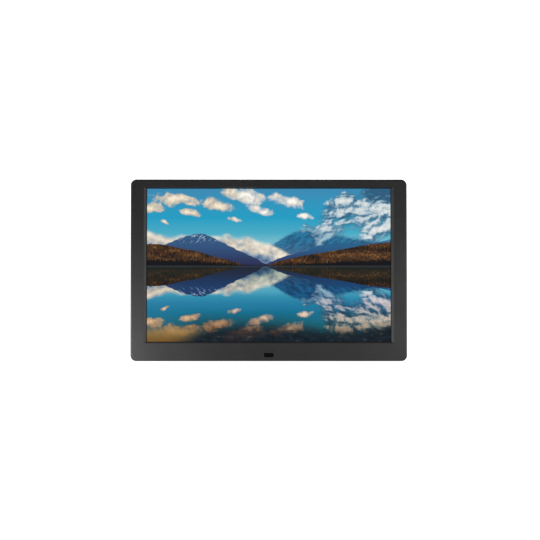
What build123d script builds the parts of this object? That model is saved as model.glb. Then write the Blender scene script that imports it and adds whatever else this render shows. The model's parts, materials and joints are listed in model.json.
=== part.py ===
"""Digital photo frame: a 10-inch display in a two-part plastic case that leans back on a fold-out leg.

Every piece is drawn in the screen's own frame: X to the right, Y up along the screen from its bottom edge,
Z towards the viewer, with the face of the bezel at Z = 0. At the end the whole frame is leant back and stood
on its rubber feet and its open leg, with +Z up, the screen facing -Y and the origin under its middle.
Millimetres.
"""
import os
from math import cos, pi, radians, sin, tan

from build123d import *

# ---- case ----
WIDTH, HEIGHT = 245.5, 161.5  # outline of the bezel
CORNER = 5.0  # outer corner radius
WALL = 2.0  # case wall
FRONT_ROUND, RIM_ROUND, BACK_ROUND = 1.0, 1.2, 1.6  # rounded edges: bezel face, rim's back, housing's back
PARTING = -7.5  # where the bezel meets the rear cover
RIM_BACK = -12.0  # back of the thin rim
BACK = -22.0  # back of the raised housing
RIM_FLOOR = RIM_BACK + WALL  # inner face of the rim
BACK_FLOOR = BACK + WALL  # inner face of the housing
LEAN = 18.0  # degrees that the frame leans back
OPEN_ANGLE = 31.0  # degrees that the leg opens from folded

# raised housing on the back
HOUSING_W, HOUSING_LOW, HOUSING_TOP, HOUSING_CORNER = 204.0, 10.0, 146.0, 10.0
HOUSING_SLOPE = 3.0  # how far its sides lean in from rim to back

# lips of the rear cover that fit inside the bezel
LIP, LIP_GAP, LIP_REACH = 1.0, 0.1, 1.5
TOP_LIP = (-104.0, 104.0)
LOW_LIPS = [(-64.0, -18.0), (18.0, 64.0)]

# ---- window in the bezel, and the display module behind it ----
ACTIVE_Y = 85.3  # centre of the lit area
WINDOW_W, WINDOW_H, WINDOW_Y = 217.6, 136.5, ACTIVE_Y + 0.18  # clear opening at the back of the bevel
BEVEL_SIDE, BEVEL_END, BEVEL_DEEP = 2.2, 1.3, 1.6
GASKET_W, GASKET_H, GASKET_BAND = 225.5, 144.5, 3.1
MODULE_W, MODULE_H, MODULE_Y = 229.46, 149.1, ACTIVE_Y - 2.05
MODULE_FRONT, MODULE_SKIRT, MODULE_BACK = -2.5, -6.3, -7.25
STEEL = 0.3  # sheet of the module's front frame
POLARISER_W, POLARISER_H, POLARISER_FRONT = 219.0, 138.0, -2.8
POLARISER_GAP = 0.25  # round it in the front frame
GLASS_W, GLASS_H, GLASS_Y = 225.0, 145.6, ACTIVE_Y - 1.6
GLASS_FRONT, GLASS_BACK = -3.0, -4.05
MOULD_W, MOULD_H, MOULD_BACK = 228.7, 148.3, -6.75
CAVITY_W, CAVITY_H, CAVITY_Y = 221.0, 144.5, ACTIVE_Y - 2.15  # hollow in the moulded frame
LIGHT_W, LIGHT_H, LIGHT_Y = 220.6, 139.0, ACTIVE_Y + 0.4  # films, light guide and reflector
FILM, FILM_PITCH, FILM_FRONT, FILMS = 0.18, 0.2, -4.1, 3
GUIDE_FRONT, GUIDE_BACK = -4.7, -6.5
REFLECTOR_FRONT, REFLECTOR_BACK = -6.54, -6.74
LED_STRIP_W, LED_STRIP_H, LED_STRIP_Y = 214.0, 4.4, ACTIVE_Y - 71.7
LED_STRIP_FRONT, LED_STRIP_BACK = -6.1, -6.7
LED_COUNT, LED_PITCH, LED_SIZE = 30, 7.0, (3.5, 1.6, 1.4)
RIB_Y, RIB_DEEP = 92.0, 0.2  # pressed ribs in the back plate
DRIVER_X, DRIVER_Y, DRIVER_BACK = (-70.0, 70.0), (10.0, 24.0), MODULE_BACK - 0.8
BRACKETS = [(x, y) for x in (-118.0, 118.0) for y in (45.0, 118.0)]
BRACKET_SHEET, BRACKET_HALF, BRACKET_OUT, BRACKET_IN = 0.6, 4.5, 2.2, 6.0

# ---- screws: one size inside, one for the case ----
INNER_SHANK, INNER_LONG, INNER_HEAD, INNER_HEAD_H = 1.0, 5.0, 1.8, 1.2
BRACKET_LONG = 4.0
CASE_SHANK, CASE_LONG, CASE_HEAD, CASE_HEAD_H = 1.0, 6.0, 2.0, 1.4
CASE_SEAT = -10.3  # where the case screws' heads bear
HEAD_GAP = 0.25  # round a head in its counterbore
PILOT, CLEARANCE_HOLE = 1.02, 1.15
PILOT_SKIN = 1.5  # left under a blind pilot hole
SIDE_SCREWS = [(x, y) for x in (-118.0, 118.0) for y in (22.0, 80.75, 140.0)]
LOW_SCREWS = [(-70.0, 5.2), (70.0, 5.2)]
CASE_SCREWS = SIDE_SCREWS + LOW_SCREWS
CASE_BOSS, COVER_BOSS, BRACKET_POST, BOARD_BOSS, EAR_BOSS = 2.6, 2.8, 2.4, 2.5, 2.0
CASE_WEB, BRACKET_WEB = 1.2, 1.0  # half thickness
CASE_PILOT_TOP, BRACKET_PILOT_TOP = -3.6, -3.0

# ---- standing bevel under the rim, and the feet in it ----
STANDING = -2.472  # height of the bevel's plane when the frame stands
FOOT_PROUD, FOOT_SUNK = 0.5, 0.8
FLOOR = STANDING - FOOT_PROUD
FOOT_X, FOOT_BACK = 84.0, 10.3
FOOT_L, FOOT_W, FOOT_CORNER, FOOT_GAP = 24.0, 2.6, 0.9, 0.1

# ---- boards ----
BOARD = 1.6
MAIN_FRONT = -11.4
MAIN_BACK = MAIN_FRONT - BOARD
MAIN_X, MAIN_Y = (36.0, 97.0), (42.0, 124.0)
MAIN_SCREWS = [(40.0, 46.0), (76.0, 46.0), (40.0, 119.0), (66.0, 119.0)]
KEY_FRONT = -12.5
KEY_BACK = KEY_FRONT - BOARD
KEY_SCREWS = [(-93.5, 72.0), (-62.5, 72.0), (-93.5, 104.0), (-62.5, 104.0), (-93.5, 134.0)]
CHIP = 1.2
CHIPS = [(60.0, 92.0, 14.0, 14.0), (46.0, 98.0, 8.0, 13.0), (46.0, 82.0, 8.0, 13.0), (62.0, 110.0, 7.0, 6.0)]
REGULATORS, REGULATOR = [(71.0, 56.0), (71.0, 64.0)], (5.0, 4.0, 1.6)
DRIVER_CHIPS, DRIVER_CHIP_W, DRIVER_CHIP_Y, DRIVER_CHIP = (-30.0, 0.0), 10.0, (12.5, 21.5), 1.0
CANS, CAN_R, CAN_H = [(80.0, 62.0), (80.0, 70.0), (66.0, 76.0)], 2.5, 5.4
SOCKET, SPEAKER_SOCKET = 1.5, 2.4  # heights of the flat-cable and speaker connectors

# ---- infrared receiver ----
IR_Y = 5.3
IR_W, IR_H, IR_CORNER, IR_GAP = 8.6, 3.5, 0.9, 0.1
IR_FLANGE_W, IR_FLANGE_H, IR_FLANGE = 10.4, 4.8, 0.8
IR_PINS = [(-9.5, IR_Y), (11.9, IR_Y)]
IR_PIN, IR_SHOULDER = 0.6, 1.3
IR_BOARD_FRONT, IR_BOARD_BACK = -6.0, -7.0
IR_DOME, IR_DOME_Z = 1.0, -3.9

# ---- keys ----
PITCH = 12.0
KEY_X, KEY_Y = -78.0, 88.0  # the OK key
KEYS = {
    "ok": (KEY_X, KEY_Y),
    "up": (KEY_X, KEY_Y + PITCH),
    "down": (KEY_X, KEY_Y - PITCH),
    "left": (KEY_X - PITCH, KEY_Y),
    "right": (KEY_X + PITCH, KEY_Y),
    "menu": (KEY_X, 114.0),
    "power": (KEY_X, 130.0),
}
KEY_HEAD, KEY_HOLE, KEY_FLANGE = 4.0, 4.3, 5.0
KEY_PROUD, KEY_ROUND = 0.8, 0.5
FLANGE_BACK = BACK_FLOOR + 0.3
FLANGE_FRONT = FLANGE_BACK + 1.3
SWITCH_BACK, SWITCH_BODY, SWITCH_POCKET = -17.6, 6.0, 2.0
PLUNGER, PLUNGER_HOLE, PLUNGER_TIP, PLUNGER_CHAMFER = 1.7, 1.85, -16.2, 0.2

# ---- leg and its hinge ----
HINGE_Y, HINGE_Z = 110.0, -18.5
LEG_FRONT, LEG_BACK = -18.4, -21.9
LEG_HALF, LEG_TIP_HALF, KNUCKLE_HALF = 30.0, 24.0, 19.0
LEG_WIDEST, LEG_SHOULDER, LEG_CORNER = 94.0, 101.0, 1.5
KNUCKLE, HEEL = 3.2, 4.5
STOP_GAP = 0.05  # between the heel and the bracket, leg open
PANEL_DEEP, RIB_POCKET_DEEP, RIB = 0.6, 1.4, 1.6
TENON, TENON_HALF, TENON_INSET = 3.5, 0.8, 3.0
PAD = 5.0  # straight part of the rubber tip
RECESS_HALF, RECESS_Z, RECESS_LOW = 31.0, -18.0, 13.0
POCKET_LOW, POCKET_TOP, POCKET_Z, POCKET_SKIN = 103.0, 117.0, -14.2, 1.8
BASE_X, BASE_Y, BASE_PLATE = (-29.5, 29.5), (103.6, 116.4), 0.8
EAR_IN, EAR, EAR_R = 19.9, 1.2, 2.9
PIN, PIN_HEAD, PIN_HEAD_LONG = 1.5, 2.4, 1.1
BRACKET_FIT, KNUCKLE_FIT, WASHER_FIT = 0.02, 0.04, 0.05  # radial gaps round the pin
WASHER, WASHER_R, WASHER_GAP = 0.7, 2.8, 0.05
HINGE_SCREWS = [(x, y) for x in (-26.0, 26.0) for y in (106.5, 113.5)]
HINGE_BOSS_TOP, HINGE_PILOT_TOP = -9.3, -9.8

# ---- speakers, and the holes in front of them ----
SPEAKERS = [(-62.0, 30.0), (62.0, 30.0)]
SPEAKER_L, SPEAKER_W, SPEAKER_CORNER, SPEAKER_RIM = 40.0, 20.0, 9.0, 1.5
SPEAKER_FRONT, SPEAKER_BACK, SPEAKER_DISH = -14.2, -19.2, 3.6
EAR_X, EAR_REACH, EAR_W, EAR_FRONT, EAR_BACK = 22.5, 25.1, 6.0, -15.6, -16.8
EAR_PILOT_BACK = BACK + 1.2
SPEAKER_SCREWS = [(x + side * EAR_X, y) for x, y in SPEAKERS for side in (-1, 1)]
CONE_OUTER = ((-18.9, 36.4, 16.4, 7.6), (-16.6, 16.0, 8.0, 3.6))  # depth, length, width, corner
CONE_INNER = ((-18.9, 35.0, 15.0, 7.0), (-17.0, 14.6, 6.6, 3.0))
MAGNET_R, MAGNET_H, MAGNET_ROUND = 7.0, 2.3, 0.5
GRILLE_PITCH, GRILLE_COUNT, GRILLE_R = (4.0, 3.4), (8, 4), 0.95
VENT_AT, VENT_PITCH, VENT_COUNT, VENT_L, VENT_W = (66.0, 86.0), (5.5, 22.0), (9, 2), 15.0, 1.9

# ---- ports in the side wall, each with its centre (Y, Z) ----
PORT_WALL, PORT_CUT = 95.0, 9.0  # where the openings start, and how far they run
DC_AT, DC_BORE, DC_NOSE, DC_PIN = (52.0, -16.4), 3.15, 3.6, 1.0
DC_BODY_HALF, DC_BODY_H, DC_BORE_FROM, DC_PIN_LONG, DC_PIN_ROUND = 4.5, 6.8, 88.0, 10.4, 0.6
AUDIO_AT, AUDIO_BORE, AUDIO_NOSE = (66.0, -15.6), 1.8, 2.8
AUDIO_BODY_HALF, AUDIO_BODY_H, AUDIO_BORE_FROM = 3.5, 5.2, 87.0
JACK_BODY = (85.0, 97.3)
AUDIO_NOSE_LONG, DC_NOSE_LONG = 2.6, 2.2
USB_AT, USB_W, USB_H, USB_SHEET = (84.0, -16.0), 13.1, 6.0, 0.3
USB_FROM, USB_LONG, USB_BACK = 84.0, 15.4, 0.6
TONGUE_BASE, TONGUE_LONG, TONGUE_W, TONGUE_H, TONGUE_RISE = 2.6, 10.8, 11.2, 1.8, 0.9
SD_AT, SD_W, SD_H = (108.0, -14.4), 26.0, 2.8
SD_FROM, SD_LONG, SD_SLOT_W, SD_SLOT_H, SD_STOP = 72.0, 26.4, 24.2, 2.2, 4.0
NOSE_GAP, USB_GAP, SD_GAP = 0.25, (0.6, 0.4), (0.6, 0.5)

# ---- keyholes for hanging ----
KEYHOLES = [(-60.0, 130.0), (60.0, 130.0)]
KEYHOLE_R, KEYHOLE_SLOT, KEYHOLE_UP = 4.25, 4.2, 7.0
SHROUD_HALF, SHROUD_LOW, SHROUD_TOP, SHROUD_Z, SHROUD_WALL = 7.2, 7.0, 12.0, -14.7, 1.5

# ---- cables ----
FLAT_CABLE, PANEL_CABLE_W, KEY_CABLE_W = 0.3, 16.0, 6.0
PANEL_CABLE_X, KEY_CABLE_Y = 44.0, 85.0
PANEL_ROUTE = [(20, -8.8), (27, -8.8), (43, -10.6), (50, -10.6)]
KEY_ROUTE = [(-61, 11.7), (-41, 11.7), (15, 10.6), (40, 10.6)]
IR_WIRE, SPEAKER_WIRE = 1.2, 1.4
IR_ROUTE = [
    (9, 7.3, -8.7), (9, 22, -8.7), (15, 38, -9.5), (24, 54, -10.2), (31, 63.5, -10.6), (40, 64, -10.6),
]
RIGHT_ROUTE = [(70, 40, -16.0), (70, 47, -16.0), (65, 55, -14.8), (59, 58, -14.2), (52, 58, -14.2)]
LEFT_ROUTE = [
    (-54, 40, -16.0), (-54, 49, -16.0), (-46, 62, -14.7), (-24, 71, -13.9), (4, 70, -13.9), (26, 72, -14.2),
    (39, 72, -14.2),
]


def bar(x, y, z, mode=Mode.ADD):
    """A box given by its low and high corner along each axis."""
    with Locations(((x[0] + x[1]) / 2, (y[0] + y[1]) / 2, (z[0] + z[1]) / 2)):
        Box(x[1] - x[0], y[1] - y[0], abs(z[1] - z[0]), mode=mode)


def posts(places, radius, low, high, mode=Mode.ADD):
    """Round posts or holes at (x, y) places, from one depth to another."""
    with BuildSketch(Plane.XY.offset(low)) as section:
        with Locations(*places):
            Circle(radius)
    extrude(section.sketch, amount=high - low, mode=mode)


def pads(places, width, height, low, high, corner=0.0, mode=Mode.ADD):
    """Rectangular slabs or pockets at (x, y) places, with round corners if a radius is given."""
    with BuildSketch(Plane.XY.offset(low)) as section:
        with Locations(*places):
            if corner:
                RectangleRounded(width, height, corner)
            else:
                Rectangle(width, height)
    extrude(section.sketch, amount=high - low, mode=mode)


def plate(width, height, centre_y, low, high, corner=0.0, mode=Mode.ADD):
    """One such slab about X = 0."""
    pads([(0, centre_y)], width, height, low, high, corner, mode)


def rod(place, radius, low, high, mode=Mode.ADD):
    """A round rod or hole along X at a (y, z) place."""
    with BuildSketch(Plane.YZ.offset(low)) as section:
        with Locations(place):
            Circle(radius)
    extrude(section.sketch, amount=high - low, mode=mode)


def block(place, width, height, low, high, mode=Mode.ADD):
    """A rectangular block or hole along X about a (y, z) place."""
    with BuildSketch(Plane.YZ.offset(low)) as section:
        with Locations(place):
            Rectangle(width, height)
    extrude(section.sketch, amount=high - low, mode=mode)


def side_webs(places, half, low, high):
    """Webs that tie bosses at (x, y) places to the nearer side wall."""
    for x, y in places:
        wall_x = (WIDTH - WALL) / 2 * (1 if x > 0 else -1)
        bar(sorted((x, wall_x)), (y - half, y + half), (low, high))


def housing(front, back, inset, mode=Mode.ADD):
    """The raised housing's outer shape, drawn in by inset, between two depths."""
    sections = []
    for depth in (front, back):
        lean_in = HOUSING_SLOPE * (RIM_BACK - depth) / (RIM_BACK - BACK) + inset
        with BuildSketch(Plane.XY.offset(depth)) as section:
            with Locations((0, (HOUSING_LOW + HOUSING_TOP) / 2)):
                RectangleRounded(HOUSING_W - 2 * lean_in, HOUSING_TOP - HOUSING_LOW - 2 * lean_in,
                                 HOUSING_CORNER - inset)
        sections.append(section.sketch)
    loft(sections, mode=mode)


def cone(place, sizes, mode=Mode.ADD):
    """A round-cornered cone between two (depth, length, width, corner) sections."""
    sections = []
    for depth, length, width, corner in sizes:
        with BuildSketch(Plane.XY.offset(depth)) as section:
            with Locations(place):
                RectangleRounded(length, width, corner)
        sections.append(section.sketch)
    loft(sections, mode=mode)


def screws(places, seat, shank, long, head, head_height, toward):
    """Pan-head screws with a cross recess, their heads bearing at one depth and pointing along Z."""
    top = seat - toward * head_height
    recess = toward * head_height * 0.6
    posts(places, head, seat, top)
    posts(places, shank, seat, seat + toward * long)
    pads(places, head * 1.2, head * 0.28, top, top + recess, mode=Mode.SUBTRACT)
    pads(places, head * 0.28, head * 1.2, top, top + recess, mode=Mode.SUBTRACT)


def bend_radii(points):
    """For each corner of a route, 0.45 of its shorter run divided by the tangent of half the turn."""
    runs = [Vector(b) - Vector(a) for a, b in zip(points, points[1:])]
    return [
        0.45 * min(a.length, b.length) / tan(radians(a.get_angle(b)) / 2) for a, b in zip(runs, runs[1:])
    ]


def wire(points, diameter, name):
    """A round wire along straight runs joined by tangent arcs."""
    radii = bend_radii(points)
    with BuildPart() as made:
        with BuildLine() as route:
            FilletPolyline(*points, radius=radii)
        with BuildSketch(Plane(origin=route.line @ 0, z_dir=route.line % 0)):
            Circle(diameter / 2)
        sweep()
    section = pi * (diameter / 2) ** 2
    length = route.wires()[0].length
    print(name, "bend radii", [round(r, 1) for r in radii], "length", round(length, 1),
          "volume over section x length", round(made.part.volume / (section * length), 4))
    made.part.label = name
    return made


def ribbon(points, plane, width, name):
    """A flat cable: a route drawn in a plane, thickened in it and extruded across it."""
    with BuildPart() as made:
        with BuildSketch(plane):
            with BuildLine() as route:
                FilletPolyline(*points, radius=bend_radii(points))
            trace(route.line, line_width=FLAT_CABLE)
        extrude(amount=width)
    made.part.label = name
    return made


# ---- case ----
with BuildPart() as front_bezel:
    plate(WIDTH, HEIGHT, HEIGHT / 2, PARTING, 0, CORNER)
    fillet(front_bezel.faces().sort_by(Axis.Z)[-1].edges(), FRONT_ROUND)
    plate(WIDTH - 2 * WALL, HEIGHT - 2 * WALL, HEIGHT / 2, PARTING, -WALL, CORNER - WALL, Mode.SUBTRACT)
    for depth, side, end in ((0, BEVEL_SIDE, BEVEL_END), (-BEVEL_DEEP, 0, 0)):
        with BuildSketch(Plane.XY.offset(depth)):
            with Locations((0, WINDOW_Y)):
                Rectangle(WINDOW_W + 2 * side, WINDOW_H + 2 * end)
    loft(mode=Mode.SUBTRACT)
    plate(WINDOW_W, WINDOW_H, WINDOW_Y, -WALL, -BEVEL_DEEP, mode=Mode.SUBTRACT)
    plate(IR_W + 2 * IR_GAP, IR_H + 2 * IR_GAP, IR_Y, -WALL, 0, IR_CORNER + IR_GAP, Mode.SUBTRACT)
    # bosses for the case screws, webbed to the nearest wall
    posts(CASE_SCREWS, CASE_BOSS, PARTING, -WALL)
    side_webs(SIDE_SCREWS, CASE_WEB, PARTING, -WALL)
    for boss_x, boss_y in LOW_SCREWS:
        bar((boss_x - CASE_WEB, boss_x + CASE_WEB), (WALL / 2, boss_y), (PARTING, -WALL))
    posts(CASE_SCREWS, PILOT, PARTING, CASE_PILOT_TOP, Mode.SUBTRACT)
    # shorter posts for the display module's brackets
    posts(BRACKETS, BRACKET_POST, MODULE_BACK, -WALL)
    side_webs(BRACKETS, BRACKET_WEB, MODULE_BACK, -WALL)
    posts(BRACKETS, PILOT, MODULE_BACK, BRACKET_PILOT_TOP, Mode.SUBTRACT)
    # two shouldered pins for the infrared board
    posts(IR_PINS, IR_SHOULDER, IR_BOARD_FRONT, -WALL)
    posts(IR_PINS, IR_PIN, IR_BOARD_BACK - 0.3, IR_BOARD_FRONT)
front_bezel.part.label = "front_bezel"

standing_plane = Plane(
    origin=(0, STANDING * cos(radians(LEAN)), STANDING * sin(radians(LEAN))),
    x_dir=(1, 0, 0),
    z_dir=(0, cos(radians(LEAN)), sin(radians(LEAN))),
)
foot_plane = Plane(
    origin=standing_plane.origin + Vector(0, FOOT_BACK * sin(radians(LEAN)), -FOOT_BACK * cos(radians(LEAN))),
    x_dir=(1, 0, 0),
    z_dir=standing_plane.z_dir,
)

with BuildPart() as rear_cover:
    plate(WIDTH, HEIGHT, HEIGHT / 2, RIM_BACK, PARTING, CORNER)
    fillet(rear_cover.faces().sort_by(Axis.Z)[0].edges(), RIM_ROUND)
    housing(RIM_BACK, BACK, 0)
    fillet(rear_cover.faces().sort_by(Axis.Z)[0].edges(), BACK_ROUND)
    housing(RIM_FLOOR, BACK_FLOOR, WALL + 0.1, Mode.SUBTRACT)
    plate(WIDTH - 2 * WALL, HEIGHT - 2 * WALL, HEIGHT / 2, RIM_FLOOR, PARTING, CORNER - WALL, Mode.SUBTRACT)
    # lips that fit inside the bezel's top and bottom walls
    lip_z = (PARTING, PARTING + LIP_REACH)
    bar(TOP_LIP, (HEIGHT - WALL - LIP, HEIGHT - WALL - LIP_GAP), lip_z)
    bar(TOP_LIP, (HEIGHT - WALL - LIP, HEIGHT - WALL), (RIM_FLOOR, PARTING))
    for low_lip in LOW_LIPS:
        bar(low_lip, (WALL + LIP_GAP, WALL + LIP - LIP_GAP), lip_z)
        bar(low_lip, (WALL, WALL + LIP - LIP_GAP), (RIM_FLOOR, PARTING))
    # bosses and counterbored holes for the case screws
    posts(CASE_SCREWS, COVER_BOSS, RIM_FLOOR, PARTING)
    side_webs(SIDE_SCREWS, CASE_WEB, RIM_FLOOR, PARTING)
    posts(CASE_SCREWS, CLEARANCE_HOLE, RIM_BACK, PARTING, Mode.SUBTRACT)
    posts(CASE_SCREWS, CASE_HEAD + HEAD_GAP, RIM_BACK - 1, CASE_SEAT, Mode.SUBTRACT)
    # bosses for the boards and the speakers
    posts(MAIN_SCREWS, BOARD_BOSS, BACK_FLOOR, MAIN_BACK)
    posts(MAIN_SCREWS, PILOT, BACK_FLOOR + PILOT_SKIN, MAIN_BACK, Mode.SUBTRACT)
    posts(KEY_SCREWS, BOARD_BOSS, BACK_FLOOR, KEY_BACK)
    posts(KEY_SCREWS, PILOT, BACK_FLOOR + PILOT_SKIN, KEY_BACK, Mode.SUBTRACT)
    posts(SPEAKER_SCREWS, EAR_BOSS, BACK_FLOOR, EAR_BACK)
    posts(SPEAKER_SCREWS, PILOT, EAR_PILOT_BACK, EAR_BACK, Mode.SUBTRACT)
    # recess for the leg, open at the bottom, and a deeper pocket for its hinge
    outer_x = (-RECESS_HALF - WALL, RECESS_HALF + WALL)
    inner_x = (-RECESS_HALF, RECESS_HALF)
    bar(outer_x, (RECESS_LOW, POCKET_TOP + WALL), (BACK_FLOOR, RECESS_Z + WALL))
    bar(outer_x, (POCKET_LOW - WALL, POCKET_TOP + WALL), (BACK_FLOOR, POCKET_Z + POCKET_SKIN))
    posts(HINGE_SCREWS, BRACKET_POST, POCKET_Z, HINGE_BOSS_TOP)
    bar(inner_x, (0, POCKET_TOP), (BACK - 1, RECESS_Z), Mode.SUBTRACT)
    bar(inner_x, (POCKET_LOW, POCKET_TOP), (BACK - 1, POCKET_Z), Mode.SUBTRACT)
    posts(HINGE_SCREWS, PILOT, POCKET_Z, HINGE_PILOT_TOP, Mode.SUBTRACT)
    # keyholes, each with a closed pocket behind it
    for hole_x, hole_y in KEYHOLES:
        bar((hole_x - SHROUD_HALF, hole_x + SHROUD_HALF), (hole_y - SHROUD_LOW, hole_y + SHROUD_TOP),
            (BACK_FLOOR, SHROUD_Z))
        bar((hole_x - SHROUD_HALF + SHROUD_WALL, hole_x + SHROUD_HALF - SHROUD_WALL),
            (hole_y - SHROUD_LOW + SHROUD_WALL, hole_y + SHROUD_TOP - SHROUD_WALL),
            (BACK_FLOOR, SHROUD_Z - SHROUD_WALL), Mode.SUBTRACT)
    posts(KEYHOLES, KEYHOLE_R, BACK, BACK_FLOOR, Mode.SUBTRACT)
    with BuildSketch(Plane.XY.offset(BACK)):
        with Locations(*[(x, y + KEYHOLE_UP / 2) for x, y in KEYHOLES]):
            SlotOverall(KEYHOLE_UP + KEYHOLE_SLOT, KEYHOLE_SLOT, rotation=90)
    extrude(amount=WALL, mode=Mode.SUBTRACT)
    # key holes, speaker holes and vents through the rear wall
    posts(list(KEYS.values()), KEY_HOLE, BACK, BACK_FLOOR, Mode.SUBTRACT)
    for speaker in SPEAKERS:
        with BuildSketch(Plane.XY.offset(BACK)):
            with Locations(speaker):
                with GridLocations(*GRILLE_PITCH, *GRILLE_COUNT):
                    Circle(GRILLE_R)
        extrude(amount=WALL, mode=Mode.SUBTRACT)
    with BuildSketch(Plane.XY.offset(BACK)):
        with Locations(VENT_AT):
            with GridLocations(*VENT_PITCH, *VENT_COUNT):
                SlotOverall(VENT_L, VENT_W, rotation=90)
    extrude(amount=WALL, mode=Mode.SUBTRACT)
    # port openings in the side wall
    port_end = PORT_WALL + PORT_CUT
    rod(DC_AT, DC_NOSE + NOSE_GAP, PORT_WALL, port_end, Mode.SUBTRACT)
    rod(AUDIO_AT, AUDIO_NOSE + NOSE_GAP, PORT_WALL, port_end, Mode.SUBTRACT)
    block(USB_AT, USB_W + USB_GAP[0], USB_H + USB_GAP[1], PORT_WALL, port_end, Mode.SUBTRACT)
    block(SD_AT, SD_W + SD_GAP[0], SD_H + SD_GAP[1], PORT_WALL, port_end, Mode.SUBTRACT)
    # standing bevel along the rim's lower rear edge, with a groove for each foot
    with BuildSketch(standing_plane):
        Rectangle(WIDTH + 10, 60)
    extrude(amount=-10, mode=Mode.SUBTRACT)
    with BuildSketch(foot_plane):
        with Locations((-FOOT_X, 0), (FOOT_X, 0)):
            RectangleRounded(FOOT_L + 2 * FOOT_GAP, FOOT_W + 2 * FOOT_GAP, FOOT_CORNER + FOOT_GAP)
    extrude(amount=FOOT_SUNK, mode=Mode.SUBTRACT)
rear_cover.part.label = "rear_cover"

with BuildPart() as rubber_feet:
    with BuildSketch(foot_plane.offset(-FOOT_PROUD)):
        with Locations((-FOOT_X, 0), (FOOT_X, 0)):
            RectangleRounded(FOOT_L, FOOT_W, FOOT_CORNER)
    extrude(amount=FOOT_PROUD + FOOT_SUNK)
rubber_feet.part.label = "rubber_feet"

with BuildPart() as case_screws:
    screws(CASE_SCREWS, CASE_SEAT, CASE_SHANK, CASE_LONG, CASE_HEAD, CASE_HEAD_H, 1)
case_screws.part.label = "case_screws"

with BuildPart() as inner_screws:
    screws(BRACKETS, MODULE_BACK - BRACKET_SHEET, INNER_SHANK, BRACKET_LONG, INNER_HEAD, INNER_HEAD_H, 1)
    screws(MAIN_SCREWS, MAIN_FRONT, INNER_SHANK, INNER_LONG, INNER_HEAD, INNER_HEAD_H, -1)
    screws(KEY_SCREWS, KEY_FRONT, INNER_SHANK, INNER_LONG, INNER_HEAD, INNER_HEAD_H, -1)
    screws(SPEAKER_SCREWS, EAR_FRONT, INNER_SHANK, INNER_LONG, INNER_HEAD, INNER_HEAD_H, -1)
    screws(HINGE_SCREWS, POCKET_Z - BASE_PLATE, INNER_SHANK, INNER_LONG, INNER_HEAD, INNER_HEAD_H, 1)
inner_screws.part.label = "inner_screws"

# ---- display module ----
with BuildPart() as bezel_gasket:
    plate(GASKET_W, GASKET_H, ACTIVE_Y, MODULE_FRONT, -WALL)
    plate(GASKET_W - 2 * GASKET_BAND, GASKET_H - 2 * GASKET_BAND, ACTIVE_Y, MODULE_FRONT, -WALL,
          mode=Mode.SUBTRACT)
bezel_gasket.part.label = "bezel_gasket"

with BuildPart() as lcd_front_frame:
    plate(MODULE_W, MODULE_H, MODULE_Y, MODULE_SKIRT, MODULE_FRONT)
    plate(MODULE_W - 2 * STEEL, MODULE_H - 2 * STEEL, MODULE_Y, MODULE_SKIRT, MODULE_FRONT - STEEL,
          mode=Mode.SUBTRACT)
    plate(POLARISER_W + 2 * POLARISER_GAP, POLARISER_H + 2 * POLARISER_GAP, ACTIVE_Y, MODULE_FRONT - STEEL,
          MODULE_FRONT, mode=Mode.SUBTRACT)
lcd_front_frame.part.label = "lcd_front_frame"

with BuildPart() as lcd_polariser:
    plate(POLARISER_W, POLARISER_H, ACTIVE_Y, GLASS_FRONT, POLARISER_FRONT)
lcd_polariser.part.label = "lcd_polariser"

with BuildPart() as lcd_glass:
    plate(GLASS_W, GLASS_H, GLASS_Y, GLASS_BACK, GLASS_FRONT)
lcd_glass.part.label = "lcd_glass"

with BuildPart() as lcd_mould_frame:
    plate(MOULD_W, MOULD_H, MODULE_Y, MOULD_BACK, GLASS_BACK)
    plate(CAVITY_W, CAVITY_H, CAVITY_Y, MOULD_BACK, GLASS_BACK, mode=Mode.SUBTRACT)
lcd_mould_frame.part.label = "lcd_mould_frame"

with BuildPart() as optical_films:
    for film in range(FILMS):
        film_front = FILM_FRONT - FILM_PITCH * film
        plate(LIGHT_W, LIGHT_H, LIGHT_Y, film_front - FILM, film_front)
optical_films.part.label = "optical_films"

with BuildPart() as light_guide:
    plate(LIGHT_W, LIGHT_H, LIGHT_Y, GUIDE_BACK, GUIDE_FRONT)
light_guide.part.label = "light_guide"

with BuildPart() as led_bar:
    plate(LED_STRIP_W, LED_STRIP_H, LED_STRIP_Y, LED_STRIP_BACK, LED_STRIP_FRONT)
    with Locations((0, LED_STRIP_Y + LED_SIZE[2], LED_STRIP_FRONT + LED_SIZE[2] / 2)):
        with GridLocations(LED_PITCH, 1.0, LED_COUNT, 1):
            Box(*LED_SIZE)
led_bar.part.label = "led_bar"

with BuildPart() as reflector_sheet:
    plate(LIGHT_W, LIGHT_H, LIGHT_Y, REFLECTOR_BACK, REFLECTOR_FRONT)
    plate(LED_STRIP_W + 0.6, LED_STRIP_H + 0.6, LED_STRIP_Y, MOULD_BACK, GUIDE_BACK, mode=Mode.SUBTRACT)
reflector_sheet.part.label = "reflector_sheet"

with BuildPart() as lcd_back_plate:
    plate(MOULD_W, MOULD_H, MODULE_Y, MODULE_BACK, MOULD_BACK)
    with BuildSketch(Plane.XY.offset(MODULE_BACK)):
        with Locations((0, RIB_Y)):
            with GridLocations(64, 58, 3, 2):
                RectangleRounded(50, 44, 5)
        with Locations((0, RIB_Y)):
            with GridLocations(64, 58, 3, 2):
                RectangleRounded(47, 41, 4, mode=Mode.SUBTRACT)
    extrude(amount=RIB_DEEP, mode=Mode.SUBTRACT)
lcd_back_plate.part.label = "lcd_back_plate"

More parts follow.
